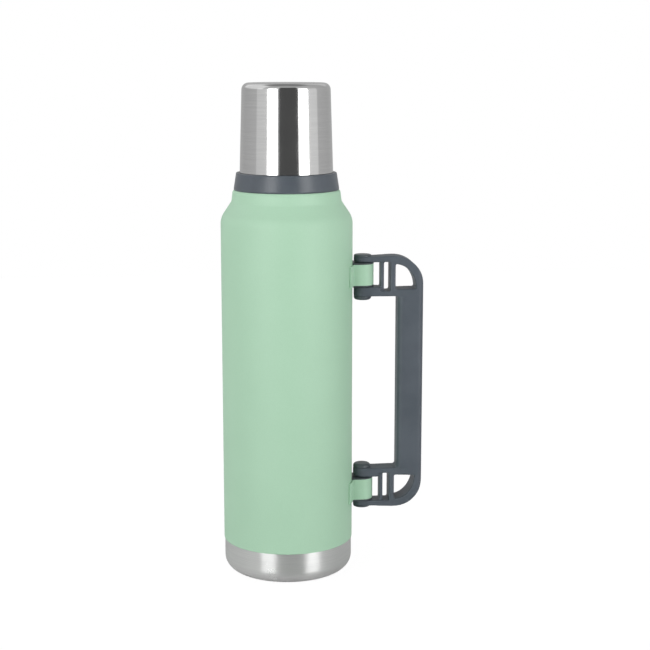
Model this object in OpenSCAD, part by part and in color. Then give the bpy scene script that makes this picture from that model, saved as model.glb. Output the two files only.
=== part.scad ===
// Double-walled vacuum flask with a screw-on steel cup, a pour-through stopper and a
// fold-away side handle. Millimetres, +Z up. The origin is the centre of the resting
// face; the flask's axis is Z and the handle hangs on the +X side.

/* [Body] */
// Outside diameter of the coated shell
body_d = 96; // [94:0.5:98]
// Height of the bare steel base band
band_h = 24; // [22:0.5:26]
// Radius of the rounded bottom edge
base_corner_r = 10; // [6:0.5:10]
// Height at which the shoulder starts
shoulder_z = 260; // [255:1:262]
// Height of the shelf that carries the neck collar
shelf_z = 284.4; // [283.8:0.1:285]
// Outside radius of the short neck under the collar
neck_r = 39.5; // [39:0.1:40.2]
// Thickness of the outer steel wall
shell_t = 0.6; // [0.5:0.1:0.8]
// Thickness of the inner steel wall
liner_t = 0.5; // [0.4:0.1:0.7]
// Clear vacuum space between the two walls
vacuum_gap = 3.6; // [3:0.1:4]
// Height of the inner flask's floor
liner_floor_z = 22; // [20:0.5:24]

/* [Mouth and collar] */
// Inside radius of the mouth
mouth_r = 26.2; // [26.2:0.1:26.4]
// Height of the rolled lip
lip_z = 313.4; // [313:0.1:313.8]
// Height of the collar's outer ring
collar_h = 12.5; // [12:0.1:13]
// Radius of the collar's lower edge
collar_low_r = 38.2; // [37.6:0.1:38.8]
// Radius of the collar's upper edge
collar_top_r = 36.4; // [36:0.1:37]

/* [Cup] */
// Height of the cup
cup_h = 64; // [64:0.1:68]
// Radius of the cup's rim
cup_rim_r = 33.8; // [33.8:0.1:34.2]
// Radius of the cup just under its rounded top
cup_top_r = 32; // [31.8:0.1:32.4]
// Radius of the rounded top edge
cup_corner_r = 5; // [4:0.5:6]
// Thickness of the cup's steel
cup_t = 0.5; // [0.4:0.1:0.6]
// Rise of the cup for each turn
cup_lead = 12; // [11:0.5:13]

/* [Stopper] */
// Rise of the stopper for each turn
stopper_lead = 10; // [9:0.5:10]
// Radius of the stopper's finger knob
knob_r = 28; // [26:0.5:28]
// Height of the stopper's finger knob
knob_h = 7.6; // [6:0.2:8]

/* [Handle] */
// Distance of the handle's hinge line from the flask's axis
hinge_x = 55.8; // [55.6:0.1:56.6]
// Height of the upper hinge
upper_hinge_z = 220.45; // [210:0.05:225]
// Height of the lower hinge
lower_hinge_z = 60.75; // [55:0.05:70]
// Radius of the hinge ears
ear_r = 6.6; // [6:0.1:6.6]
// Height of each fork, outside to outside
fork_h = 29.3; // [29:0.1:30]
// Inner face of the grip, measured from the flask's axis
grip_in = 81.2; // [81:0.1:83]
// Outer face of the grip, measured from the flask's axis
grip_out = 100.3; // [99:0.1:102]
// Width of the grip
grip_w = 18; // [17:0.5:18]
// Radius of the handle's outer corners
handle_corner_r = 22; // [18:0.5:22]
// Radius of the hinge pins
pin_r = 2; // [1.8:0.1:2.2]

/* [Hidden] */
$fn = 96;

body_r = body_d / 2;
band_r = body_r - 0.5;
tuck_r = body_r - shell_t - 0.4;
liner_r = body_r - shell_t - vacuum_gap;
mouth_tube_r = mouth_r + liner_t + 0.9 + shell_t;
collar_top_z = shelf_z + collar_h;
cup_rim_z = collar_top_z;
cup_top_z = cup_rim_z + cup_h;

// collar thread and the cup's thread
sleeve_in_r = mouth_tube_r + 0.1;
sleeve_r = sleeve_in_r + 1.3;
sleeve_top_z = lip_z - 2.1;
cup_wall_r = sleeve_r + 1.6;
cup_thread_z = cup_rim_z + 6;
cup_pitch = cup_lead / 2;
cup_liner_t = 1.2;
gasket_gap = 0.15;
cup_groove_in_r = cup_wall_r + 0.5;
cup_groove_out_r = cup_rim_r - cup_t - 0.15;
cup_groove_h = 2.4;

// stopper in the mouth
stopper_r = mouth_r - 1.8;
stopper_foot_z = lip_z - 34;
stopper_seat_z = lip_z - 31;
stopper_stem_r = 21.8;
stopper_hollow_r = 20.5;
stopper_thread_z = lip_z - 14;
stopper_pitch = stopper_lead / 2;
throat_r = 23;

// handle, seen along Y: heights are measured from the handle's middle
handle_mid_z = (upper_hinge_z + lower_hinge_z) / 2;
fork_z = (upper_hinge_z - lower_hinge_z) / 2;
ear_shift = 1.4;
slot2_h = 21.5;
slot2_low = 3.9;
ear_gap = 18.4;
lug_h = 15.6;
flange_t = 1.1;
lug_r = 8.1;
strap_t = 1.3;
bracket_clear = 0.05;
handle_flare = 0.6;
bar1_in = 68.6;
bar1_out = 71.2;
slot2_out = 75.7;
bar2_out = 79.5;
bar_w = 10;
inner_corner_r = 1;
band_t = 5.6;
window_h = 18.4;
outer_cap_h = 1.5;
inner_cap_h = 3;

steel = [0.72, 0.72, 0.70];
mint = [0.60, 0.77, 0.64];
slate = [0.33, 0.37, 0.40];
rubber = [0.25, 0.26, 0.27];

// ---- outlines ---------------------------------------------------------------------

// Points along an arc about [cx, cy], from angle a0 to a1 in n steps
function arc_points(cx, cy, r, a0, a1, n) =
  [for (i = [0 : n]) let (a = a0 + (a1 - a0) * i / n) [cx + r * cos(a), cy + r * sin(a)]];

function unit(v) = v / norm(v);

// Unit normal on the left of the step from a to b
function left_normal(a, b) = let (d = unit(b - a)) [-d[1], d[0]];

// The path moved to its left by t, mitred at its corners
function inset(path, t) =
  let (last = len(path) - 1)
  [for (i = [0 : last])
    let (
      before = left_normal(path[max(i - 1, 0)], path[max(i, 1)]),
      after = left_normal(path[min(i, last - 1)], path[min(i + 1, last)]),
      middle = unit(before + after)
    )
    path[i] + middle * t / (middle * before)];

function reversed(list) = [for (i = [len(list) - 1 : -1 : 0]) list[i]];

// A pressed sheet wall: the path is its outside, followed from the base towards the lip
module pressed_wall(path, t) {
  rotate_extrude() polygon(concat(path, reversed(inset(path, t))));
}

// A ring between two radii
module ring(inner_r, outer_r, low_z, high_z) {
  rotate_extrude() polygon([
    [inner_r, low_z], [outer_r, low_z], [outer_r, high_z], [inner_r, high_z]
  ]);
}

// One start's ridges of a vented screw thread: short arcs, tilted to the lead angle,
// with a gap between each two. root_r is buried in the wall that carries them.
module thread_start(root_r, crest_r, ridge_h, lead, first_z, span, step, count) {
  tilt = atan(lead / (2 * PI * crest_r));
  for (i = [0 : count - 1])
    rotate([0, 0, step * (i + 0.5)])
      translate([0, 0, first_z + lead * step * i / 360])
        rotate([tilt, 0, 0])
          rotate([0, 0, -span / 2])
            rotate_extrude(angle = span) polygon([
              [root_r, -ridge_h / 2], [crest_r, -ridge_h * 0.3],
              [crest_r, ridge_h * 0.3], [root_r, ridge_h / 2]
            ]);
}

module two_start_thread(root_r, crest_r, ridge_h, lead, first_z, span, step, count, first_a) {
  for (start = [0, 180])
    rotate([0, 0, first_a + start])
      thread_start(root_r, crest_r, ridge_h, lead, first_z, span, step, count);
}

// ---- flask ------------------------------------------------------------------------

// Outside of the coated shell, from its lower edge to the top of the mouth tube
shell_path = concat(
  [[body_r, band_h]],
  arc_points(body_r - 14, shoulder_z, 14, 0, 33, 5),
  arc_points(neck_r + 5.1, shoulder_z + 17.9, 4.8, 213, 182, 4),
  [[neck_r - 0.4, shelf_z - 1.2], [neck_r - 1.3, shelf_z]],
  [[mouth_tube_r, shelf_z], [mouth_tube_r, lip_z - 1.9]]
);

module outer_shell() {
  color(mint) pressed_wall(shell_path, shell_t);
}

// Spun steel base, pressed into the shell's lower end, with a raised middle
base_path = concat(
  [[0, 3.2], [30.6, 3.2], [34, 0]],
  arc_points(band_r - base_corner_r, base_corner_r, base_corner_r, -90, 0, 8),
  [[band_r, band_h - 0.05], [tuck_r, band_h], [tuck_r, band_h + 5]]
);

module base_cup() {
  color(steel) pressed_wall(base_path, shell_t);
}

// Dished end of the outer wall with the evacuation hole in its middle
module shell_bottom() {
  dish_r = tuck_r - shell_t - 0.15;
  color(steel) difference() {
    pressed_wall(concat(
      [[0, 9], [4, 9], [7, 12]],
      arc_points(dish_r - 4, 16, 4, -90, 0, 5),
      [[dish_r, band_h + 4]]
    ), shell_t);
    translate([0, 0, 5]) cylinder(r = 1.5, h = 10);
  }
}

// Inner flask: floor, wall, shoulder, throat with the stopper's seat, mouth and lip
liner_path = concat(
  [[0, liner_floor_z]],
  arc_points(liner_r - 8, liner_floor_z + 8, 8, -90, 0, 6),
  arc_points(liner_r - 14, shoulder_z - 1, 14, 0, 50, 6),
  arc_points(throat_r + liner_t + 5, stopper_seat_z - 0.5, 5, 235, 180, 4),
  [[mouth_r + liner_t, stopper_seat_z + 4], [mouth_r + liner_t, lip_z - 1.8]],
  [[mouth_tube_r + 0.7, lip_z - 1.8]]
);

module inner_liner() {
  color(steel) union() {
    rotate_extrude() polygon(concat(
      liner_path,
      [[mouth_tube_r + 0.7, lip_z - 0.6], [mouth_tube_r + 0.1, lip_z], [mouth_r + 0.4, lip_z]],
      reversed(inset([for (i = [0 : len(liner_path) - 2]) liner_path[i]], liner_t))
    ));
    two_start_thread(mouth_r + 0.3, mouth_r - 1.3, 1.8, stopper_lead,
      stopper_thread_z + stopper_pitch / 2, 30, 36, 4, 12);
  }
}

module radiation_foil() {
  color([0.85, 0.56, 0.40]) ring(liner_r + 0.1, liner_r + 0.3, liner_floor_z + 12, shoulder_z - 6);
}

// Gas-absorbing pellet in its clip, standing in the vacuum under the inner floor
module getter() {
  color([0.45, 0.45, 0.47]) translate([18, 0, 12.9]) rotate_extrude() polygon([
    [0, 0], [7, 0], [7, 1.2], [5, 1.2], [5, 4.6], [4, 5.6], [0, 5.6]
  ]);
}

// Glass bead that closes the evacuation hole
module vacuum_plug() {
  color([0.35, 0.40, 0.38]) translate([0, 0, 6.4]) rotate_extrude() polygon([
    [0, 0], [2, 0.2], [3.2, 1.2], [3.4, 2.5], [1.4, 2.5], [1.4, 4.4], [0, 4.4]
  ]);
}

// Moulded collar: a tapered ring that the cup stands on, and the cup's threaded sleeve
module neck_collar() {
  color(slate) union() {
    rotate_extrude() polygon([
      [sleeve_in_r, shelf_z + 0.1], [30.4, shelf_z + 0.1], [30.4, shelf_z + 1.5],
      [36, shelf_z + 1.5], [36, shelf_z + 0.1], [collar_low_r - 0.6, shelf_z + 0.1],
      [collar_low_r, shelf_z + 0.8], [collar_top_r + 0.1, collar_top_z - 0.7],
      [collar_top_r - 0.5, collar_top_z], [sleeve_r, collar_top_z],
      [sleeve_r, sleeve_top_z - 0.8], [sleeve_r - 0.6, sleeve_top_z],
      [sleeve_in_r, sleeve_top_z]
    ]);
    two_start_thread(sleeve_r - 0.4, sleeve_r + 1.2, 2, cup_lead, cup_thread_z, 34, 40, 4, 0);
  }
}

module collar_seal() {
  color(rubber) ring(30.6, 35.8, shelf_z + 0.05, shelf_z + 1.4);
}

// ---- hinges -----------------------------------------------------------------------

// Puts a hinge piece at the upper or the lower hinge; the lower one is its mirror image
module at_upper_hinge() {
  translate([0, 0, upper_hinge_z]) children();
}

module at_lower_hinge() {
  translate([0, 0, lower_hinge_z]) mirror([0, 0, 1]) children();
}

// Solid of a tongue that reaches from the flask to the hinge line and ends round
module tongue(half_w, nose_r, h) {
  translate([hinge_x, 0, -h / 2]) cylinder(r = nose_r, h = h);
  translate([body_r - 4, -half_w, -h / 2]) cube([hinge_x - body_r + 4, 2 * half_w, h]);
}

// Coated steel strap: a loop round the hinge block and two feet on the shell
module bracket() {
  foot_a = 24;
  foot_t = 1.2;
  color(mint) translate([0, 0, ear_shift - lug_h / 2]) linear_extrude(lug_h) difference() {
    union() {
      translate([hinge_x, 0]) circle(r = lug_r);
      translate([body_r - 2, -lug_r]) square([hinge_x - body_r + 2, 2 * lug_r]);
      intersection() {
        circle(r = body_r + foot_t);
        polygon([[0, 0], [70, -70 * tan(foot_a)], [70, 70 * tan(foot_a)]]);
      }
    }
    translate([hinge_x, 0]) circle(r = lug_r - strap_t);
    translate([body_r - 4, strap_t - lug_r])
      square([hinge_x - body_r + 4, 2 * (lug_r - strap_t)]);
    circle(r = body_r + bracket_clear);
  }
}

// Moulded block inside the strap, with a flange above and below and the pin's bore
module hinge_block() {
  block_r = lug_r - strap_t - 0.05;
  color(slate) translate([0, 0, ear_shift]) difference() {
    union() {
      tongue(block_r, block_r, lug_h);
      for (side = [-1, 1])
        translate([0, 0, side * (lug_h / 2 + flange_t / 2)]) tongue(8.4, lug_r + 0.1, flange_t);
    }
    translate([0, 0, -lug_h]) cylinder(r = body_r + 0.1, h = 2 * lug_h);
    translate([hinge_x, 0, -lug_h]) cylinder(r = pin_r + 0.06, h = 2 * lug_h);
  }
}

module upper_bracket() { at_upper_hinge() bracket(); }
module lower_bracket() { at_lower_hinge() bracket(); }
module upper_hinge_block() { at_upper_hinge() hinge_block(); }
module lower_hinge_block() { at_lower_hinge() hinge_block(); }

// ---- handle -----------------------------------------------------------------------

ear_top_u = fork_z + fork_h / 2;
top_u = ear_top_u + handle_flare;
in_u = fork_z - fork_h / 2;
corner_x = grip_out - handle_corner_r;
window_low = in_u + 5.4;
window_w = grip_out - band_t - bar2_out;

// Upper half of the handle's side outline, before its openings are cut
half_outline = concat(
  [[hinge_x - 9, 0], [hinge_x - 9, ear_top_u], [hinge_x + 8, ear_top_u], [corner_x - 1, top_u]],
  arc_points(corner_x, top_u - handle_corner_r, handle_corner_r, 90, 0, 16),
  [[grip_out, 0]]
);

module half_openings() {
  // the hand's space, the fork's gap, the slot between the bars and the corner window
  translate([0, -1]) square([grip_in - inner_corner_r, in_u + 1]);
  translate([0, -1]) square([grip_in, in_u - inner_corner_r + 1]);
  translate([grip_in - inner_corner_r, in_u - inner_corner_r]) circle(r = inner_corner_r);
  translate([0, fork_z + ear_shift - ear_gap / 2]) square([bar1_in, ear_gap]);
  translate([bar1_out, in_u + slot2_low]) square([slot2_out - bar1_out, slot2_h]);
  polygon(concat(
    [[bar2_out, window_low]],
    [for (a = [0 : 6 : 90]) [bar2_out + window_w * cos(a), window_low + window_h * sin(a)]]
  ));
}

module side_outline() {
  for (side = [0, 1])
    mirror([0, side]) difference() {
      polygon(half_outline);
      half_openings();
    }
}

// Rounded bar seen from above, from x0 to x1
module rounded_bar(x0, x1, w, r) {
  translate([x0 + r, -w / 2]) square([x1 - x0 - 2 * r, w]);
  translate([x0, -w / 2 + r]) square([x1 - x0, w - 2 * r]);
  for (x = [x0 + r, x1 - r], y = [-w / 2 + r, w / 2 - r])
    translate([x, y]) circle(r = r);
}

// Plan of the forks: round at the hinge and widening to the grip
module fork_plan() {
  translate([hinge_x, 0]) circle(r = ear_r);
  polygon([
    [hinge_x, -ear_r], [grip_in - 2, -ear_r - 0.8], [grip_in + 8, -grip_w / 2],
    [grip_in + 8, grip_w / 2], [grip_in - 2, ear_r + 0.8], [hinge_x, ear_r]
  ]);
  rounded_bar(grip_in + 4, grip_out, grip_w, 4);
}

module handle_frame() {
  fork_low = in_u - inner_corner_r;
  fork_top = top_u + 1;
  color(slate) translate([0, 0, handle_mid_z]) difference() {
    intersection() {
      rotate([90, 0, 0]) linear_extrude(grip_w + 2, center = true) side_outline();
      union() {
        for (side = [0, 1])
          mirror([0, 0, side]) translate([0, 0, fork_low])
            linear_extrude(fork_top - fork_low) fork_plan();
        linear_extrude(2 * fork_low + 0.2, center = true)
          rounded_bar(grip_in, grip_out, grip_w, 4);
      }
    }
    for (side = [0, 1])
      mirror([0, 0, side]) {
        // the bars between the arms are narrower than the arms
        for (flank = [0, 1])
          mirror([0, flank, 0]) translate([bar1_in - 1, bar_w / 2, in_u + slot2_low])
            cube([slot2_out - bar1_in + 1, grip_w, slot2_h]);
        // holes for the hinge pins
        translate([hinge_x, 0, in_u - 1]) cylinder(r = pin_r + 0.02, h = fork_h + 2);
      }
  }
}

module hinge_pins() {
  color(steel) for (z = [upper_hinge_z, lower_hinge_z])
    translate([hinge_x, 0, z - fork_h / 2 + 0.1]) cylinder(r = pin_r, h = fork_h - 0.2);
}

// Cap on an ear: a short drum with a rounded edge and a slight crown
module pin_cap(h) {
  r = ear_r - 0.1;
  edge_r = 0.8 * h;
  rotate_extrude() polygon(concat(
    [[0, 0], [r, 0]],
    arc_points(r - edge_r, h - 0.1 - edge_r, edge_r, 0, 84, 5),
    [[0, h]]
  ));
}

module pin_caps() {
  color(slate) for (side = [0, 1])
    translate([hinge_x, 0, handle_mid_z]) mirror([0, 0, side]) {
      translate([0, 0, ear_top_u + 0.02]) pin_cap(outer_cap_h);
      translate([0, 0, in_u - 0.02]) mirror([0, 0, 1]) pin_cap(inner_cap_h);
    }
}

// ---- cup --------------------------------------------------------------------------

cup_path = concat(
  [[cup_rim_r, cup_rim_z + 0.05]],
  arc_points(cup_top_r - cup_corner_r, cup_top_z - cup_corner_r, cup_corner_r, 2, 90, 8),
  [[0, cup_top_z]]
);

module cup_shell() {
  color(steel) pressed_wall(cup_path, cup_t);
}

// Moulded lining with the thread that takes the collar's, and a groove for the gasket
module cup_liner() {
  lining = inset(cup_path, cup_t + 0.05);
  inside = inset(cup_path, cup_t + 0.05 + cup_liner_t);
  thread_top_z = sleeve_top_z + 1;
  color(slate) union() {
    rotate_extrude() polygon(concat(
      [[cup_wall_r, cup_rim_z + 0.3], [cup_groove_in_r, cup_rim_z + 0.3]],
      [[cup_groove_in_r, cup_rim_z + cup_groove_h], [cup_groove_out_r, cup_rim_z + cup_groove_h]],
      [for (i = [1 : len(lining) - 1]) lining[i]],
      reversed([for (i = [1 : len(inside) - 1]) inside[i]]),
      [[cup_wall_r - 0.3, thread_top_z + 3], [cup_wall_r, thread_top_z]]
    ));
    two_start_thread(cup_wall_r + 0.3, sleeve_r + 0.4, 2, cup_lead,
      cup_thread_z - cup_pitch / 2, 34, 40, 4, 0);
  }
}

module cup_gasket() {
  color(rubber) ring(cup_groove_in_r + gasket_gap, cup_groove_out_r - gasket_gap,
    cup_rim_z + 0.25, cup_rim_z + cup_groove_h - 0.2);
}

// ---- stopper ----------------------------------------------------------------------

module stopper_body() {
  groove_w = 8.5;
  wall_low_z = stopper_seat_z + 3.2;
  color(slate) union() {
    difference() {
      rotate_extrude() polygon([
        [0, stopper_foot_z], [stopper_stem_r - 1, stopper_foot_z],
        [stopper_stem_r, stopper_foot_z + 1], [stopper_stem_r, stopper_seat_z],
        [stopper_stem_r - 0.9, stopper_seat_z], [stopper_stem_r - 0.9, wall_low_z],
        [stopper_r - 0.8, wall_low_z], [stopper_r, wall_low_z + 0.8],
        [stopper_r, lip_z], [stopper_hollow_r, lip_z],
        [stopper_hollow_r, stopper_foot_z + 8], [stopper_hollow_r - 1.2, stopper_foot_z + 6],
        [stopper_hollow_r - 1.2, stopper_foot_z + 1.5], [0, stopper_foot_z + 1.5]
      ]);
      for (side = [0, 180])
        rotate([0, 0, side]) translate([stopper_r - 2.2, -groove_w / 2, wall_low_z - 1])
          cube([5, groove_w, lip_z - wall_low_z - 1]);
    }
    two_start_thread(stopper_r - 0.3, stopper_r + 1.4, 1.8, stopper_lead,
      stopper_thread_z, 30, 36, 4, 12);
  }
}

module stopper_core() {
  color([0.93, 0.92, 0.88]) rotate_extrude() polygon([
    [0, stopper_foot_z + 1.6], [stopper_hollow_r - 1.3, stopper_foot_z + 1.6],
    [stopper_hollow_r - 1.3, stopper_foot_z + 6.2], [stopper_hollow_r - 0.2, stopper_foot_z + 8.2],
    [stopper_hollow_r - 0.2, lip_z - 6.2], [0, lip_z - 6.2]
  ]);
}

// Finger knob that closes the stopper, with a fluted rim and a plug into the body
module stopper_knob() {
  low_z = lip_z + 0.4;
  flutes = 18;
  color(slate) difference() {
    rotate_extrude() polygon([
      [0, lip_z - 6], [stopper_hollow_r - 0.1, lip_z - 6], [stopper_hollow_r - 0.1, low_z],
      [knob_r - 1, low_z], [knob_r, low_z + 1], [knob_r, low_z + knob_h - 1.6],
      [knob_r - 0.5, low_z + knob_h - 0.5], [knob_r - 1.6, low_z + knob_h],
      [knob_r - 5.5, low_z + knob_h], [knob_r - 6.5, low_z + knob_h - 1.2], [0, low_z + knob_h - 1.2]
    ]);
    for (i = [0 : flutes - 1])
      rotate([0, 0, 360 * (i + 0.5) / flutes]) translate([knob_r + 1.4, 0, low_z - 1])
        cylinder(r = 2.6, h = knob_h + 2, $fn = 32);
  }
}

// Silicone ring that closes on the throat's seat
module stopper_gasket() {
  color([0.88, 0.88, 0.86]) rotate_extrude() polygon([
    [stopper_stem_r - 0.75, stopper_seat_z + 0.2], [throat_r - 0.35, stopper_seat_z + 0.2],
    [throat_r + 1.6, stopper_seat_z + 2.2], [throat_r + 1.6, stopper_seat_z + 2.9],
    [stopper_stem_r - 0.75, stopper_seat_z + 2.9]
  ]);
}

outer_shell();
base_cup();
shell_bottom();
inner_liner();
radiation_foil();
getter();
vacuum_plug();
neck_collar();
collar_seal();
upper_bracket();
lower_bracket();
upper_hinge_block();
lower_hinge_block();
handle_frame();
hinge_pins();
pin_caps();
cup_shell();
cup_liner();
cup_gasket();
stopper_body();
stopper_core();
stopper_knob();
stopper_gasket();
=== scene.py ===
import math

import bmesh
import bpy
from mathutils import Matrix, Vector


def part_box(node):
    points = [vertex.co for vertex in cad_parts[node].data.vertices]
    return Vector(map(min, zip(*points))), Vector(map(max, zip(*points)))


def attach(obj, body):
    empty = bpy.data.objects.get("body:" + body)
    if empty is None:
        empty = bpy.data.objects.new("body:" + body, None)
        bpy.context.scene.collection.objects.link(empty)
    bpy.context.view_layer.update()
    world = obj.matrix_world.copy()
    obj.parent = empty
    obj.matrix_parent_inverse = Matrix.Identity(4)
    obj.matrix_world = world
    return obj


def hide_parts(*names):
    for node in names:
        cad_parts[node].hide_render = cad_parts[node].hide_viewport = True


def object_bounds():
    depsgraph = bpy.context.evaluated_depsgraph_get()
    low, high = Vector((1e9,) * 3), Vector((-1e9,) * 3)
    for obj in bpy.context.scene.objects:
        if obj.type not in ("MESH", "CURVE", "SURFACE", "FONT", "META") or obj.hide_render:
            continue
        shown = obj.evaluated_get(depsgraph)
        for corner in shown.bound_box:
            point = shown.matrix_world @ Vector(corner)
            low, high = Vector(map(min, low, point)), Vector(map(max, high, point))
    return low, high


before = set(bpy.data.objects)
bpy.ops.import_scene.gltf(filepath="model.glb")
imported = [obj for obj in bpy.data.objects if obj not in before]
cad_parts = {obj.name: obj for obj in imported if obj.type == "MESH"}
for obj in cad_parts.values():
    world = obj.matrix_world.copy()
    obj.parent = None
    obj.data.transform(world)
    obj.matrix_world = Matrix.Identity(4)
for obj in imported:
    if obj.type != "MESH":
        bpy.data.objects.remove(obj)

cad_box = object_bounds()

# ---- Coated shell -------------------------------------------------------------------
# The outer wall of the flask: one deep-drawn steel tube, 0.6 mm thick, necked in at the
# shoulder and again to the mouth tube. It is coated with a fine satin powder, baked on.

MM = 0.001
shell_low, shell_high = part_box("outer_shell")
body_r = shell_high.x / MM
shell_low_z = shell_low.z / MM
mouth_tube_top_z = shell_high.z / MM
shell_t = 0.6
shelf_z = 284.4
mouth_tube_r = 28.2


def rounded(corners, steps=8):
    """An open outline through (r, z) corners; a corner given as (r, z, radius) is filleted."""
    points = []
    for i, corner in enumerate(corners):
        here = Vector(corner[:2])
        if len(corner) == 2:
            points.append(here)
            continue
        before = (Vector(corners[i - 1][:2]) - here).normalized()
        after = (Vector(corners[i + 1][:2]) - here).normalized()
        half = before.angle(after) / 2
        centre = here + (before + after).normalized() * corner[2] / math.sin(half)
        reach = corner[2] / math.tan(half)
        start, end = here + before * reach - centre, here + after * reach - centre
        for k in range(steps + 1):
            points.append(centre + start.slerp(end, k / steps).normalized() * corner[2])
    return points


def normal_of(a, b):
    """Unit normal on the left of the step from a to b."""
    step = (b - a).normalized()
    return Vector((-step.y, step.x))


def sheet_wall(path, thickness):
    """Closed outline of a sheet wall: the path, and back along its inside."""
    inside = []
    for i, here in enumerate(path):
        ahead = normal_of(here, path[i + 1]) if i + 1 < len(path) else None
        behind = normal_of(path[i - 1], here) if i else ahead
        ahead = ahead or behind
        middle = (behind + ahead).normalized()
        inside.append(here + middle * thickness / middle.dot(behind))
    return path + inside[::-1]


def turn(mesh, outline, segments=256):
    """Adds the solid that the closed (r, z) outline sweeps round the axis, in millimetres."""
    rings = []
    for r, z in outline:
        count = segments if r > 1e-4 else 1
        angles = [2 * math.pi * i / count for i in range(count)]
        rings.append([
            mesh.verts.new((r * MM * math.cos(a), r * MM * math.sin(a), z * MM)) for a in angles
        ])
    for low, high in zip(rings, rings[1:] + rings[:1]):
        for i in range(segments):
            j = i + 1
            corners = [low[i % len(low)], low[j % len(low)], high[j % len(high)], high[i % len(high)]]
            corners = list(dict.fromkeys(corners))
            if len(corners) > 2:
                mesh.faces.new(corners)


def weigh_normals(piece):
    """Smooth shading that keeps the flats flat, made part of the mesh."""
    for face in piece.data.polygons:
        face.use_smooth = True
    piece.modifiers.new("flats", "WEIGHTED_NORMAL").keep_sharp = False
    evaluated = piece.evaluated_get(bpy.context.evaluated_depsgraph_get())
    piece.data = bpy.data.meshes.new_from_object(evaluated)
    piece.modifiers.clear()


def make_piece(name, mesh):
    """A Blender object from a finished bmesh."""
    bmesh.ops.recalc_face_normals(mesh, faces=mesh.faces)
    data = bpy.data.meshes.new(name)
    mesh.to_mesh(data)
    mesh.free()
    piece = bpy.data.objects.new(name, data)
    bpy.context.scene.collection.objects.link(piece)
    weigh_normals(piece)
    return piece


def turned(name, outline, segments=256):
    mesh = bmesh.new()
    turn(mesh, outline, segments)
    return make_piece(name, mesh)


def hand_over(piece, material, body, node):
    """The piece takes its finish, rides on its body and stands for its CAD node."""
    piece.data.materials.clear()
    piece.data.materials.append(material)
    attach(piece, body)
    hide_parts(node)


def shading(name):
    """A material's Principled shader, and a short way to add nodes and link them."""
    material = bpy.data.materials.new(name)
    material.use_nodes = True
    tree = material.node_tree
    shader = next(n for n in tree.nodes if n.type == "BSDF_PRINCIPLED")

    def put(node, socket, value):
        if isinstance(value, bpy.types.NodeSocket):
            tree.links.new(value, node.inputs[socket])
        else:
            node.inputs[socket].default_value = value

    def add(kind, sockets, out=0, **settings):
        node = tree.nodes.new("ShaderNode" + kind)
        for key, value in settings.items():
            setattr(node, key, value)
        for socket, value in sockets.items():
            put(node, socket, value)
        return node.outputs[out]

    def finish(**sockets):
        for socket, value in sockets.items():
            put(shader, socket.replace("_", " "), value)
        return material

    return add, finish


def grain(add, place, size_mm, detail=2.0):
    """Noise between 0 and 1 whose lumps are about size_mm across."""
    sockets = {"Vector": place, "Scale": 1 / (size_mm * MM), "Detail": detail}
    return add("TexNoise", sockets)


def spread(add, value, low, high):
    """Noise stretched so that its usual range runs from low to high."""
    sockets = {"Value": value, "From Min": 0.3, "From Max": 0.7, "To Min": low, "To Max": high}
    return add("MapRange", sockets)


def tint(add, value, dark, light):
    """A colour between two, by a value from 0 to 1."""
    return add("Mix", {0: value, 6: (*dark, 1), 7: (*light, 1)}, out=2, data_type="RGBA")


def powder_coat():
    add, finish = shading("mint_powder_coat")
    place = add("TexCoord", {}, out=3)
    cloud = spread(add, grain(add, place, 45), 0, 1)
    speck = spread(add, grain(add, place, 0.9, 1.0), 0, 1)
    shade = add("Math", {0: cloud, 1: speck}, operation="ADD")
    shade = add("Math", {0: shade, 1: 0.5}, operation="MULTIPLY")
    peel = grain(add, place, 1.3, 3.0)
    sand = grain(add, place, 0.35, 1.0)
    bump = add("Bump", {"Height": peel, "Strength": 0.35, "Distance": 0.00012})
    bump = add("Bump", {"Height": sand, "Strength": 0.3, "Distance": 0.00004, "Normal": bump})
    return finish(
        Base_Color=tint(add, shade, (0.438, 0.688, 0.496), (0.470, 0.724, 0.530)),
        Roughness=spread(add, speck, 0.46, 0.54),
        Normal=bump,
        IOR=1.5,
    )


mint_coat = powder_coat()
shell_path = rounded([
    (body_r - 0.3, shell_low_z), (body_r, shell_low_z, 0.28), (body_r, 264.15, 14),
    (40, 276.1, 4.8), (39.1, 283.2, 2), (38.2, shelf_z, 0.4), (mouth_tube_r, shelf_z, 0.5),
    (mouth_tube_r, mouth_tube_top_z),
])
coated_shell = turned("coated_shell", sheet_wall(shell_path, shell_t))
hand_over(coated_shell, mint_coat, "flask", "outer_shell")

# ---- Base ---------------------------------------------------------------------------
# A spun steel cup pressed into the shell's lower end and left bare. It is brushed on the
# lathe, so its fine scratches run round it. The middle is raised, and the rim rests.

base_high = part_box("base_cup")[1]
band_r = base_high.x / MM
base_corner_r = 10
rest_r = 34
recess_h = 3.2
tuck_r = body_r - shell_t - 0.4


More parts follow.
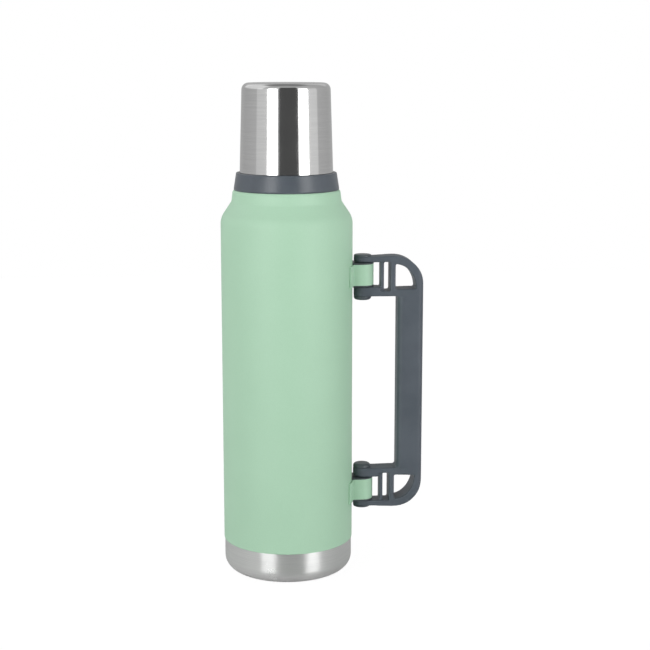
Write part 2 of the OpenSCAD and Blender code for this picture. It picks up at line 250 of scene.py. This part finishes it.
def brushed(name, dark, light, rough_low, rough_high, anisotropy, scratch, flat_end):
    """Steel brushed in rings round the flask's axis, over its wall and its flat end."""
    add, finish = shading(name)
    place = add("TexCoord", {}, out=3)
    split = add("SeparateXYZ", {"Vector": place}).node
    across = add("CombineXYZ", {"X": split.outputs["X"], "Y": split.outputs["Y"]})
    radius = add("VectorMath", {0: across}, out=1, operation="LENGTH")
    sign = -1 if flat_end == "top" else 1
    along = add("Math", {0: radius, 1: sign, 2: split.outputs["Z"]}, operation="MULTIPLY_ADD")

    def rings(width_mm, run_mm):
        run, width = run_mm * MM, width_mm * MM
        x = add("Math", {0: split.outputs["X"], 1: run}, operation="DIVIDE")
        y = add("Math", {0: split.outputs["Y"], 1: run}, operation="DIVIDE")
        z = add("Math", {0: along, 1: width}, operation="DIVIDE")
        lines = add("CombineXYZ", {"X": x, "Y": y, "Z": z})
        return add("TexNoise", {"Vector": lines, "Scale": 1.0, "Detail": 2.0})

    fine, coarse = rings(0.12, 14), rings(0.7, 40)
    smudge = spread(add, grain(add, place, 22), 0, 1)
    lines = add("Math", {0: fine, 1: coarse}, operation="ADD")
    lines = add("Math", {0: lines, 1: 0.5}, operation="MULTIPLY")
    worn = add("Math", {0: spread(add, lines, 0, 0.75), 1: 0.25, 2: smudge}, operation="MULTIPLY_ADD")
    bump = add("Bump", {"Height": fine, "Strength": scratch, "Distance": 0.00002})
    return finish(
        Base_Color=tint(add, spread(add, lines, 0, 1), dark, light),
        Metallic=1.0,
        Roughness=add("MapRange", {"Value": worn, "To Min": rough_low, "To Max": rough_high}),
        Anisotropic=anisotropy,
        Anisotropic_Rotation=0.25,
        Tangent=add("Tangent", {}, direction_type="RADIAL", axis="Z"),
        Normal=bump,
    )


base_steel = brushed(
    "spun_base_steel", (0.70, 0.70, 0.70), (0.81, 0.81, 0.80), 0.26, 0.34, 0.85, 0.08, "bottom",
)
base_path = rounded([
    (0, recess_h), (rest_r - 3.4, recess_h, 2), (rest_r, 0, 1.2), (band_r, 0, base_corner_r),
    (band_r, shell_low_z - 0.05, 0.15), (tuck_r, shell_low_z - 0.05), (tuck_r, base_high.z / MM),
], steps=12)
base = turned("spun_base", sheet_wall(base_path, shell_t))
hand_over(base, base_steel, "flask", "base_cup")

# ---- Vacuum space -------------------------------------------------------------------
# The inner flask hangs from the mouth. Its floor is closed off by a dished end with a
# glass bead in the evacuation hole, with a getter above it and foil round the flask.


def dress(node, material):
    """A CAD node keeps its shape and takes a finish."""
    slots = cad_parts[node].data.materials
    slots.clear()
    slots.append(material)


def sealing_glass():
    add, finish = shading("sealing_glass")
    place = add("TexCoord", {}, out=3)
    swirl = grain(add, place, 1.5, 3.0)
    bump = add("Bump", {"Height": swirl, "Strength": 0.3, "Distance": 0.0001})
    colour = tint(add, swirl, (0.05, 0.07, 0.06), (0.10, 0.13, 0.11))
    return finish(Base_Color=colour, Roughness=spread(add, swirl, 0.06, 0.16), Normal=bump)


def pressed_powder():
    add, finish = shading("pressed_getter_powder")
    place = add("TexCoord", {}, out=3)
    grit = grain(add, place, 0.25, 4.0)
    bump = add("Bump", {"Height": grit, "Strength": 0.8, "Distance": 0.0001})
    colour = tint(add, grit, (0.10, 0.10, 0.11), (0.24, 0.24, 0.25))
    return finish(Base_Color=colour, Metallic=0.6, Roughness=spread(add, grit, 0.6, 0.8), Normal=bump)


def crinkled_foil():
    add, finish = shading("crinkled_foil")
    place = add("TexCoord", {}, out=3)
    creases = add("TexVoronoi", {"Vector": place, "Scale": 90.0}, feature="F1")
    bump = add("Bump", {"Height": creases, "Strength": 0.5, "Distance": 0.0004})
    colour = tint(add, creases, (0.78, 0.52, 0.38), (0.86, 0.62, 0.47))
    roughness = spread(add, creases, 0.15, 0.25)
    return finish(Base_Color=colour, Metallic=1.0, Roughness=roughness, Normal=bump)


inner_steel = brushed(
    "inner_steel", (0.55, 0.55, 0.54), (0.63, 0.63, 0.62), 0.2, 0.3, 0.5, 0.3, "bottom",
)
dress("inner_liner", inner_steel)
dress("shell_bottom", inner_steel)
dress("radiation_foil", crinkled_foil())
dress("getter", pressed_powder())
dress("vacuum_plug", sealing_glass())

# ---- Neck collar --------------------------------------------------------------------
# A slate grey moulding that sits on the shell's shelf over a flat silicone seal. Its
# tapered ring carries the cup, and its sleeve has the cup's thread, in vented ridges.

collar_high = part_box("neck_collar")[1]
collar_r = collar_high.x / MM
collar_low_z = shelf_z + 0.1
collar_top_r = 36.4
collar_top_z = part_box("cup_shell")[0].z / MM - 0.05
seal_in_r = 30.4
seal_out_r = 36
seal_top_z = shelf_z + 1.5
sleeve_in_r = mouth_tube_r + 0.1
sleeve_r = sleeve_in_r + 1.3
sleeve_top_z = collar_high.z / MM
cup_lead = 12
thread_z = collar_top_z + 6
ridge_root_r = sleeve_r - 0.4
ridge_crest_r = sleeve_r + 1.2
ridge_h = 2
ridge_step = 40
ridge_span = 34
ridges_per_start = 4


def moulded(name, dark, light, rough_low, rough_high, spark_mm, depth):
    """Moulded plastic: spark-eroded grain, with faint flow clouds in colour and gloss."""
    add, finish = shading(name)
    place = add("TexCoord", {}, out=3)
    cloud = spread(add, grain(add, place, 18), 0, 1)
    spark = grain(add, place, spark_mm, 2.0)
    pit = grain(add, place, spark_mm * 3, 1.0)
    both = add("Math", {0: spark, 1: pit}, operation="ADD")
    bump = add("Bump", {"Height": both, "Strength": 0.6, "Distance": depth * MM})
    fleck = add("Math", {0: spread(add, spark, 0, 0.7), 1: 0.3, 2: cloud}, operation="MULTIPLY_ADD")
    return finish(
        Base_Color=tint(add, fleck, dark, light),
        Roughness=spread(add, pit, rough_low, rough_high),
        Normal=bump,
        IOR=1.46,
    )


def silicone(name, dark, light, see_through):
    add, finish = shading(name)
    place = add("TexCoord", {}, out=3)
    bloom = spread(add, grain(add, place, 3, 3.0), 0, 1)
    bump = add("Bump", {"Height": bloom, "Strength": 0.2, "Distance": 0.00005})
    return finish(
        Base_Color=tint(add, bloom, dark, light),
        Roughness=spread(add, bloom, 0.42, 0.55),
        Subsurface_Weight=see_through,
        Subsurface_Scale=0.001,
        Normal=bump,
        IOR=1.41,
    )


def thread_ridge(mesh, root_r, crest_r, height, lead, mid_a, mid_z, span, steps=24):
    """One ridge along a helix, from root to crest, with ends that run out."""
    section = [(root_r, -0.5), (crest_r, -0.3), (crest_r, 0.3), (root_r, 0.5)]
    rings = []
    for k in range(steps + 1):
        turn_by = span * (k / steps - 0.5)
        run_out = min(1, 5 * min(k, steps - k) / steps + 0.25)
        a = math.radians(mid_a + turn_by)
        z = mid_z + lead * turn_by / 360
        ring = []
        for r, share in section:
            r = root_r + (r - root_r) * run_out
            point = (r * math.cos(a), r * math.sin(a), z + share * height)
            ring.append(mesh.verts.new([c * MM for c in point]))
        rings.append(ring)
    for near, far in zip(rings, rings[1:]):
        for i in range(4):
            j = (i + 1) % 4
            mesh.faces.new([near[i], near[j], far[j], far[i]])
    mesh.faces.new(rings[0])
    mesh.faces.new(rings[-1])


def two_start_ridges(mesh, root_r, crest_r, height, lead, first_z, span, step, count):
    """Both starts of a vented thread, each as a row of ridges with gaps between them."""
    for start in (0, 180):
        for i in range(count):
            angle = start + step * (i + 0.5)
            level = first_z + lead * step * i / 360
            thread_ridge(mesh, root_r, crest_r, height, lead, angle, level, span)


collar_outline = rounded([
    (sleeve_in_r, collar_low_z), (seal_in_r, collar_low_z), (seal_in_r, seal_top_z),
    (seal_out_r, seal_top_z), (seal_out_r, collar_low_z), (collar_r - 0.3, collar_low_z, 0.3),
    (collar_r, shelf_z + 1, 0.5), (collar_top_r, collar_top_z, 0.7),
    (sleeve_r, collar_top_z, 0.4), (sleeve_r, sleeve_top_z, 0.5), (sleeve_in_r, sleeve_top_z, 0.3),
    (sleeve_in_r, shelf_z + 2),
])
collar_mesh = bmesh.new()
turn(collar_mesh, collar_outline)
two_start_ridges(
    collar_mesh, ridge_root_r, ridge_crest_r, ridge_h, cup_lead, thread_z,
    ridge_span, ridge_step, ridges_per_start,
)
collar = make_piece("neck_collar_ring", collar_mesh)
collar_plastic = moulded(
    "collar_plastic", (0.080, 0.096, 0.114), (0.103, 0.120, 0.141), 0.28, 0.36, 0.3, 0.02,
)
hand_over(collar, collar_plastic, "flask", "neck_collar")
dark_silicone = silicone("dark_silicone", (0.030, 0.032, 0.034), (0.045, 0.047, 0.050), 0.0)
dress("collar_seal", dark_silicone)

# ---- Straps and hinge blocks --------------------------------------------------------
# Two coated steel straps wrap the hinge blocks and are spot-welded to the shell by their
# feet. The blocks are moulded, with a flange above and below the strap.


def softened(name, node, edge_mm, corner_angle=35):
    """A copy of a CAD node's solid with its edges eased, as a mould or a deburring leaves them."""
    mesh = bmesh.new()
    mesh.from_mesh(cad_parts[node].data)
    bmesh.ops.remove_doubles(mesh, verts=mesh.verts, dist=1e-6)
    bmesh.ops.dissolve_limit(mesh, angle_limit=math.radians(1), verts=mesh.verts, edges=mesh.edges)
    data = bpy.data.meshes.new(name)
    mesh.to_mesh(data)
    mesh.free()
    piece = bpy.data.objects.new(name, data)
    bpy.context.scene.collection.objects.link(piece)
    bevel = piece.modifiers.new("edges", "BEVEL")
    bevel.width = edge_mm * MM
    bevel.segments = 3
    bevel.limit_method = "ANGLE"
    bevel.angle_limit = math.radians(corner_angle)
    bevel.use_clamp_overlap = False
    weigh_normals(piece)
    return piece


hinge_plastic = moulded(
    "hinge_plastic", (0.052, 0.066, 0.074), (0.078, 0.092, 0.102), 0.36, 0.46, 0.3, 0.02,
)
for level in ("upper", "lower"):
    strap = softened(f"{level}_strap", f"{level}_bracket", 0.25)
    hand_over(strap, mint_coat, "flask", f"{level}_bracket")
    block = softened(f"{level}_block", f"{level}_hinge_block", 0.3)
    hand_over(block, hinge_plastic, "flask", f"{level}_hinge_block")

# ---- Handle -------------------------------------------------------------------------
# One moulding: a solid grip, and at each end a fork with two bars and a quarter-round
# window. All its edges are well rounded for the hand, and it has a fine spark grain.

handle_voxel = 0.5
handle_easing = 7


def melted(name, node, voxel_mm, passes):
    """A copy of a CAD node's solid with every edge and inside corner rounded by smoothing."""
    piece = bpy.data.objects.new(name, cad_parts[node].data.copy())
    bpy.context.scene.collection.objects.link(piece)
    weld = piece.modifiers.new("weld", "WELD")
    weld.merge_threshold = 1e-6
    cells = piece.modifiers.new("cells", "REMESH")
    cells.mode = "VOXEL"
    cells.voxel_size = voxel_mm * MM
    ease = piece.modifiers.new("ease", "SMOOTH")
    ease.factor = 0.5
    ease.iterations = passes
    weigh_normals(piece)
    return piece


handle_plastic = moulded(
    "handle_plastic", (0.077, 0.094, 0.114), (0.097, 0.115, 0.138), 0.42, 0.50, 0.35, 0.03,
)
handle = melted("handle_moulding", "handle_frame", handle_voxel, handle_easing)
hand_over(handle, handle_plastic, "handle", "handle_frame")

# ---- Pins and caps ------------------------------------------------------------------
# Ground steel pins, 4 mm thick, run through the ears and the blocks. Each end is closed
# by a domed cap pressed on to the ear; the caps inside the fork stand taller.

pin_low, pin_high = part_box("hinge_pins")
cap_low, cap_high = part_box("pin_caps")
hinge_x = (pin_low.x + pin_high.x) / 2 / MM
cap_r = (cap_high.x - cap_low.x) / 2 / MM
fork_h = 29.3
outer_cap_h = 1.5
inner_cap_h = 3
ear_top_z = pin_high.z / MM + 0.1
ear_low_z = pin_low.z / MM - 0.1


def ground_steel():
    add, finish = shading("ground_pin_steel")
    place = add("TexCoord", {}, out=3)
    lines = grain(add, place, 0.2, 2.0)
    bump = add("Bump", {"Height": lines, "Strength": 0.2, "Distance": 0.00001})
    colour = tint(add, lines, (0.50, 0.50, 0.50), (0.60, 0.60, 0.59))
    return finish(Base_Color=colour, Metallic=1.0, Roughness=spread(add, lines, 0.22, 0.32), Normal=bump)


caps_mesh = bmesh.new()
for face_z, height in (
    (ear_top_z, outer_cap_h), (ear_top_z - fork_h, -inner_cap_h),
    (ear_low_z, -outer_cap_h), (ear_low_z + fork_h, inner_cap_h),
):
    dome = rounded([
        (0, 0), (cap_r, 0, 0.1), (cap_r, abs(height) - 0.15, 0.72 * abs(height)), (0, abs(height)),
    ])
    cap = bmesh.new()
    turn(cap, [(r, z * math.copysign(1, height)) for r, z in dome], segments=64)
    bmesh.ops.translate(cap, verts=cap.verts, vec=(hinge_x * MM, 0, face_z * MM))
    cap_data = bpy.data.meshes.new("cap")
    cap.to_mesh(cap_data)
    cap.free()
    caps_mesh.from_mesh(cap_data)
caps = make_piece("ear_caps", caps_mesh)
cap_plastic = moulded(
    "cap_plastic", (0.074, 0.088, 0.101), (0.094, 0.111, 0.126), 0.32, 0.40, 0.3, 0.015,
)
hand_over(caps, cap_plastic, "handle", "pin_caps")
dress("hinge_pins", ground_steel())

# ---- Stopper ------------------------------------------------------------------------
# A moulded screw stopper: a body with two pour grooves and a foam core, closed by a
# fluted finger knob. A pale silicone ring at its foot seals on the flask's throat.


def rigid_foam():
    add, finish = shading("rigid_foam")
    place = add("TexCoord", {}, out=3)
    cells = add("TexVoronoi", {"Vector": place, "Scale": 1500.0}, feature="F1")
    bump = add("Bump", {"Height": cells, "Strength": 0.7, "Distance": 0.0002})
    colour = tint(add, cells, (0.80, 0.76, 0.64), (0.88, 0.85, 0.75))
    return finish(Base_Color=colour, Roughness=spread(add, cells, 0.8, 0.9), Normal=bump)


stopper_plastic = moulded(
    "stopper_plastic", (0.080, 0.098, 0.112), (0.104, 0.122, 0.138), 0.34, 0.44, 0.3, 0.02,
)
dress("stopper_body", stopper_plastic)
dress("stopper_knob", stopper_plastic)
dress("stopper_core", rigid_foam())
dress("stopper_gasket", silicone("pale_silicone", (0.70, 0.70, 0.67), (0.78, 0.78, 0.75), 0.2))

# ---- Cup ----------------------------------------------------------------------------
# A pressed steel cup, finely brushed and nearly bright, with a slight taper, a flat top
# and a rounded edge. A moulded lining with the thread and a gasket is fixed inside it.

cup_low, cup_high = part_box("cup_shell")
cup_rim_r = cup_high.x / MM
cup_rim_z = cup_low.z / MM
cup_top_z = cup_high.z / MM
cup_shoulder_r = 31.85
cup_corner_r = 5
cup_t = 0.5

cup_steel = brushed(
    "brushed_cup_steel", (0.60, 0.60, 0.60), (0.70, 0.70, 0.695), 0.09, 0.13, 0.5, 0.12, "top",
)
cup_path = rounded([
    (cup_rim_r - 0.3, cup_rim_z), (cup_rim_r, cup_rim_z, 0.25),
    (cup_shoulder_r, cup_top_z, cup_corner_r), (0, cup_top_z),
], steps=16)
cup = turned("steel_cup", sheet_wall(cup_path, cup_t))
hand_over(cup, cup_steel, "cup", "cup_shell")
lining_plastic = moulded(
    "lining_plastic", (0.100, 0.118, 0.132), (0.128, 0.146, 0.162), 0.38, 0.46, 0.3, 0.02,
)
dress("cup_liner", lining_plastic)
dress("cup_gasket", dark_silicone)

# ---- Camera -------------------------------------------------------------------------
# A long lens, a metre in front of the flask and a little higher than its cup. It looks
# slightly down, and from the left of the flask's axis, so the handle shows from the side.

camera_ahead = 1.06145
camera_left = 0.07605
camera_height = 0.37886
camera_pitch = 79.647
camera_turn = -5.6
lens = 81.25

camera = bpy.data.objects.new("camera", bpy.data.cameras.new("camera"))
camera.data.lens = lens
camera.data.clip_start = 0.05
camera.location = (-camera_left, -camera_ahead, camera_height)
camera.rotation_euler = (math.radians(camera_pitch), 0, math.radians(camera_turn))
bpy.context.scene.collection.objects.link(camera)
bpy.context.scene.camera = camera

# ---- Floor --------------------------------------------------------------------------
# A white studio floor with a faint gloss, three metres square. The camera sees it
# over-lit, so that it runs into the backdrop without an edge.

floor_size = 3
floor_drop = 0.0002
floor_shade = 0.85
floor_gloss = 0.12
floor_roughness = 0.2
over_light = 1.08
over_light_share = 0.88

floor_mesh = bmesh.new()
bmesh.ops.create_grid(floor_mesh, x_segments=1, y_segments=1, size=floor_size / 2)
floor_data = bpy.data.meshes.new("studio_floor")
floor_mesh.to_mesh(floor_data)
floor_mesh.free()
floor = bpy.data.objects.new("studio_floor", floor_data)
floor.location.z = cad_box[0].z - floor_drop
bpy.context.scene.collection.objects.link(floor)


def floor_white():
    material = bpy.data.materials.new("floor_white")
    material.use_nodes = True
    tree = material.node_tree
    tree.nodes.clear()
    matt = tree.nodes.new("ShaderNodeBsdfDiffuse")
    matt.inputs["Color"].default_value = (floor_shade, floor_shade, floor_shade, 1)
    gloss = tree.nodes.new("ShaderNodeBsdfAnisotropic")
    gloss.inputs["Roughness"].default_value = floor_roughness
    surface = tree.nodes.new("ShaderNodeMixShader")
    surface.inputs[0].default_value = floor_gloss
    tree.links.new(matt.outputs[0], surface.inputs[1])
    tree.links.new(gloss.outputs[0], surface.inputs[2])
    lit = tree.nodes.new("ShaderNodeEmission")
    lit.inputs["Strength"].default_value = over_light
    seen = tree.nodes.new("ShaderNodeLightPath")
    share = tree.nodes.new("ShaderNodeMath")
    share.operation = "MULTIPLY"
    share.inputs[1].default_value = over_light_share
    mix = tree.nodes.new("ShaderNodeMixShader")
    out = tree.nodes.new("ShaderNodeOutputMaterial")
    tree.links.new(seen.outputs["Is Camera Ray"], share.inputs[0])
    tree.links.new(share.outputs[0], mix.inputs[0])
    tree.links.new(surface.outputs[0], mix.inputs[1])
    tree.links.new(lit.outputs[0], mix.inputs[2])
    tree.links.new(mix.outputs[0], out.inputs["Surface"])
    return material


floor_data.materials.append(floor_white())

# ---- Light --------------------------------------------------------------------------
# A white studio. Two tall softboxes stand either side of the camera, each with a dim glow
# beside it and a dark gap between them. A weak box hangs high on the left, and two behind.
# The walls are grey, and darker overhead and away from the camera.

facing = math.degrees(math.atan2(camera_left, camera_ahead))
softboxes = [
    # azimuth to the right of the camera, half width, lowest and highest elevation, strength
    (-35, 12.5, -12, 24, 5.4),
    (44.5, 12.3, -12, 24, 5.4),
    (-64, 16, -12, 24, 0.22),
    (71, 15, -12, 24, 0.32),
    (-105, 40, 15, 60, 0.5),
    (-150, 14, 22, 60, 0.25),
    (150, 14, 22, 60, 0.25),
]
wall_light = 0.62
wall_glow = 0.26
glow_reach = 125
gap_light = 0.12
gap_middle = 6
gap_half_width = 25
gap_top = 48
top_low = 62
top_dim = 0.5
edge_blur = 2.5

world = bpy.data.worlds.new("studio")
world.use_nodes = True
bpy.context.scene.world = world
sky = world.node_tree
sky.nodes.clear()


def sky_math(operation, *values, clamp=False):
    """One step of arithmetic on the direction that a ray leaves in."""
    node = sky.nodes.new("ShaderNodeMath")
    node.operation = operation
    node.use_clamp = clamp
    for i, value in enumerate(values):
        if isinstance(value, bpy.types.NodeSocket):
            sky.links.new(value, node.inputs[i])
        else:
            node.inputs[i].default_value = value
    return node.outputs[0]


def within(angle, middle, half_width, blur):
    """1 where the angle is within half_width of the middle, falling to 0 over the blur."""
    off = sky_math("ABSOLUTE", sky_math("SUBTRACT", angle, middle))
    return sky_math("DIVIDE", sky_math("SUBTRACT", half_width + blur / 2, off), blur, clamp=True)


direction = sky.nodes.new("ShaderNodeTexCoord")
axes = sky.nodes.new("ShaderNodeSeparateXYZ")
sky.links.new(direction.outputs["Generated"], axes.inputs[0])
x, y, z = axes.outputs
azimuth = sky_math("DEGREES", sky_math("ARCTAN2", x, sky_math("MULTIPLY", y, -1)))
azimuth = sky_math("WRAP", sky_math("ADD", azimuth, facing), 180, -180)
elevation = sky_math("DEGREES", sky_math("ARCSINE", z))
away = sky_math("DIVIDE", sky_math("ABSOLUTE", azimuth), glow_reach, clamp=True)
walls = sky_math("MULTIPLY_ADD", away, -wall_glow, wall_light + wall_glow)
overhead = within(elevation, 90, 90 - top_low, 6 * edge_blur)
walls = sky_math("MULTIPLY", walls, sky_math("MULTIPLY_ADD", overhead, -top_dim, 1))
gap = within(azimuth, gap_middle, gap_half_width, 2 * edge_blur)
low_down = within(elevation, -90, 90 + gap_top, 3 * edge_blur)
gap = sky_math("MULTIPLY", gap, low_down)
lit = sky_math("SUBTRACT", 1, gap)
radiance = sky_math("MULTIPLY_ADD", walls, lit, sky_math("MULTIPLY", gap, gap_light))
for middle, half_width, low, high, strength in softboxes:
    beside = within(azimuth, middle, half_width, edge_blur)
    level = within(elevation, (low + high) / 2, (high - low) / 2, 3 * edge_blur)
    radiance = sky_math("MULTIPLY_ADD", sky_math("MULTIPLY", beside, level), strength, radiance)
camera_sees = sky.nodes.new("ShaderNodeLightPath").outputs["Is Camera Ray"]
studio = sky.nodes.new("ShaderNodeBackground")
backdrop = sky.nodes.new("ShaderNodeBackground")
backdrop.inputs["Color"].default_value = (1, 1, 1, 1)
choose = sky.nodes.new("ShaderNodeMixShader")
sky.links.new(radiance, studio.inputs["Strength"])
sky.links.new(camera_sees, choose.inputs[0])
sky.links.new(studio.outputs[0], choose.inputs[1])
sky.links.new(backdrop.outputs[0], choose.inputs[2])
sky.links.new(choose.outputs[0], sky.nodes.new("ShaderNodeOutputWorld").inputs["Surface"])
bpy.context.scene.view_settings.view_transform = "Standard"
